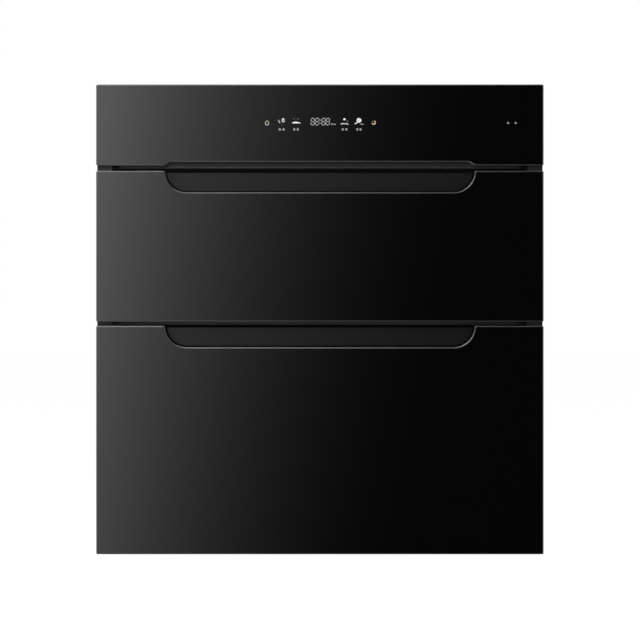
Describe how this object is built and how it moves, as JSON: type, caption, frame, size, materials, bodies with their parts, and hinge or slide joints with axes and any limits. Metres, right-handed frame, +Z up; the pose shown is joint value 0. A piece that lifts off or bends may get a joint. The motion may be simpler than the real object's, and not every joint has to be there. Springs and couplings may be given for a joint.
{
  "type": "dish sterilizer cabinet",
  "caption": "Built-in dish sterilizer with a glass control panel over two pull-out drawers with wire racks, ball-bearing slides, warm-air fan and lamps.",
  "frame": {"origin": "middle of the footprint at the underside of the feet", "axes": "+Z up, the glass front faces -Y, +X to the right seen from the front"},
  "size_m": [0.595, 0.43, 0.6257],
  "materials": {
    "black_glass": "black tempered glass with ground edges",
    "dark_paint": "black powder coat",
    "galvanised_sheet": "galvanised sheet steel",
    "stainless_sheet": "brushed stainless steel",
    "black_plastic": "moulded, fine matt",
    "white_plastic": "moulded, fine matt",
    "light_guide": "frosted",
    "circuit_board": "solder resist",
    "silicone": "matt silicone",
    "foot_rubber": "matt",
    "screw_steel": "zinc plated",
    "plated_wire": "bright nickel plate",
    "tray_plastic": "moulded, fine matt",
    "lamp_quartz": "clear quartz",
    "infrared_quartz": "frosted quartz",
    "probe_steel": "drawn stainless steel",
    "fan_steel": "galvanised sheet steel",
    "motor_steel": "black enamel",
    "heater_ceramic": "unglazed",
    "magnet_ferrite": "sintered ferrite",
    "slide_zinc": "zinc plated steel",
    "cage_steel": "pressed steel, ground balls"
  },
  "bodies": {
    "cabinet": {"outer_casing": "galvanised_sheet", "base_pan": "galvanised_sheet", "back_cover": "galvanised_sheet", "cover_screws": "screw_steel", "front_frame": "dark_paint", "upper_liner": "stainless_sheet", "lower_liner": "stainless_sheet", "rubber_feet": "foot_rubber", "control_glass": "black_glass", "control_housing": "black_plastic", "control_board": "circuit_board", "display_lights": "light_guide", "upper_gap_trim": "black_plastic", "lower_gap_trim": "black_plastic", "electronics_shelf": "galvanised_sheet", "power_board": "circuit_board", "cable_gland": "black_plastic", "fan_housing": "fan_steel", "fan_motor": "motor_steel", "warm_air_heater": "heater_ceramic", "uv_lamp": "lamp_quartz", "uv_lamp_holders": "white_plastic", "uv_lamp_guard": "plated_wire", "infrared_tubes": "infrared_quartz", "infrared_holders": "stainless_sheet", "infrared_guard": "plated_wire", "temperature_probes": "probe_steel", "reed_switches": "black_plastic", "upper_slide_channel_left": "slide_zinc", "upper_slide_channel_right": "slide_zinc", "lower_slide_channel_left": "slide_zinc", "lower_slide_channel_right": "slide_zinc"},
    "fan": {"fan_wheel": "fan_steel"},
    "upper_drawer": {"upper_glass": "black_glass", "upper_pull": "black_plastic", "upper_door_pan": "dark_paint", "upper_seal": "silicone", "upper_magnet": "magnet_ferrite", "upper_side_brackets": "stainless_sheet", "upper_rack": "plated_wire", "upper_slide_inner_left": "slide_zinc", "upper_slide_inner_right": "slide_zinc"},
    "upper_middle_members": {"upper_slide_middle_left": "slide_zinc", "upper_slide_middle_right": "slide_zinc"},
    "upper_outer_ball_cages": {"upper_outer_cages": "cage_steel"},
    "upper_inner_ball_cages": {"upper_inner_cages": "cage_steel"},
    "lower_drawer": {"lower_glass": "black_glass", "lower_pull": "black_plastic", "lower_door_pan": "dark_paint", "lower_seal": "silicone", "lower_magnet": "magnet_ferrite", "lower_side_brackets": "stainless_sheet", "lower_rack": "plated_wire", "lower_slide_inner_left": "slide_zinc", "lower_slide_inner_right": "slide_zinc", "cutlery_tray": "tray_plastic"},
    "lower_middle_members": {"lower_slide_middle_left": "slide_zinc", "lower_slide_middle_right": "slide_zinc"},
    "lower_outer_ball_cages": {"lower_outer_cages": "cage_steel"},
    "lower_inner_ball_cages": {"lower_inner_cages": "cage_steel"}
  },
  "joints": [
    {"name": "fan_spin", "type": "hinge", "parent": "cabinet", "child": "fan", "pos_m": [-0.07, 0.16, 0.415], "axis": [0, 1, 0], "continuous": true},
    {"name": "upper_drawer_slide", "type": "slide", "parent": "cabinet", "child": "upper_drawer", "axis": [0, -1, 0], "range_m": [0, 0.29]},
    {"name": "upper_middle_members_slide", "type": "slide", "parent": "cabinet", "child": "upper_middle_members", "axis": [0, -1, 0], "range_m": [0, 0.145]},
    {"name": "upper_outer_ball_cages_slide", "type": "slide", "parent": "cabinet", "child": "upper_outer_ball_cages", "axis": [0, -1, 0], "range_m": [0, 0.0725]},
    {"name": "upper_inner_ball_cages_slide", "type": "slide", "parent": "cabinet", "child": "upper_inner_ball_cages", "axis": [0, -1, 0], "range_m": [0, 0.2175]},
    {"name": "lower_drawer_slide", "type": "slide", "parent": "cabinet", "child": "lower_drawer", "axis": [0, -1, 0], "range_m": [0, 0.29]},
    {"name": "lower_middle_members_slide", "type": "slide", "parent": "cabinet", "child": "lower_middle_members", "axis": [0, -1, 0], "range_m": [0, 0.145]},
    {"name": "lower_outer_ball_cages_slide", "type": "slide", "parent": "cabinet", "child": "lower_outer_ball_cages", "axis": [0, -1, 0], "range_m": [0, 0.0725]},
    {"name": "lower_inner_ball_cages_slide", "type": "slide", "parent": "cabinet", "child": "lower_inner_ball_cages", "axis": [0, -1, 0], "range_m": [0, 0.2175]}
  ],
  "couplings": [
    {"joint": "upper_middle_members_slide", "follows": "upper_drawer_slide", "ratio": 0.5},
    {"joint": "upper_outer_ball_cages_slide", "follows": "upper_drawer_slide", "ratio": 0.25},
    {"joint": "upper_inner_ball_cages_slide", "follows": "upper_drawer_slide", "ratio": 0.75},
    {"joint": "lower_middle_members_slide", "follows": "lower_drawer_slide", "ratio": 0.5},
    {"joint": "lower_outer_ball_cages_slide", "follows": "lower_drawer_slide", "ratio": 0.25},
    {"joint": "lower_inner_ball_cages_slide", "follows": "lower_drawer_slide", "ratio": 0.75}
  ]
}
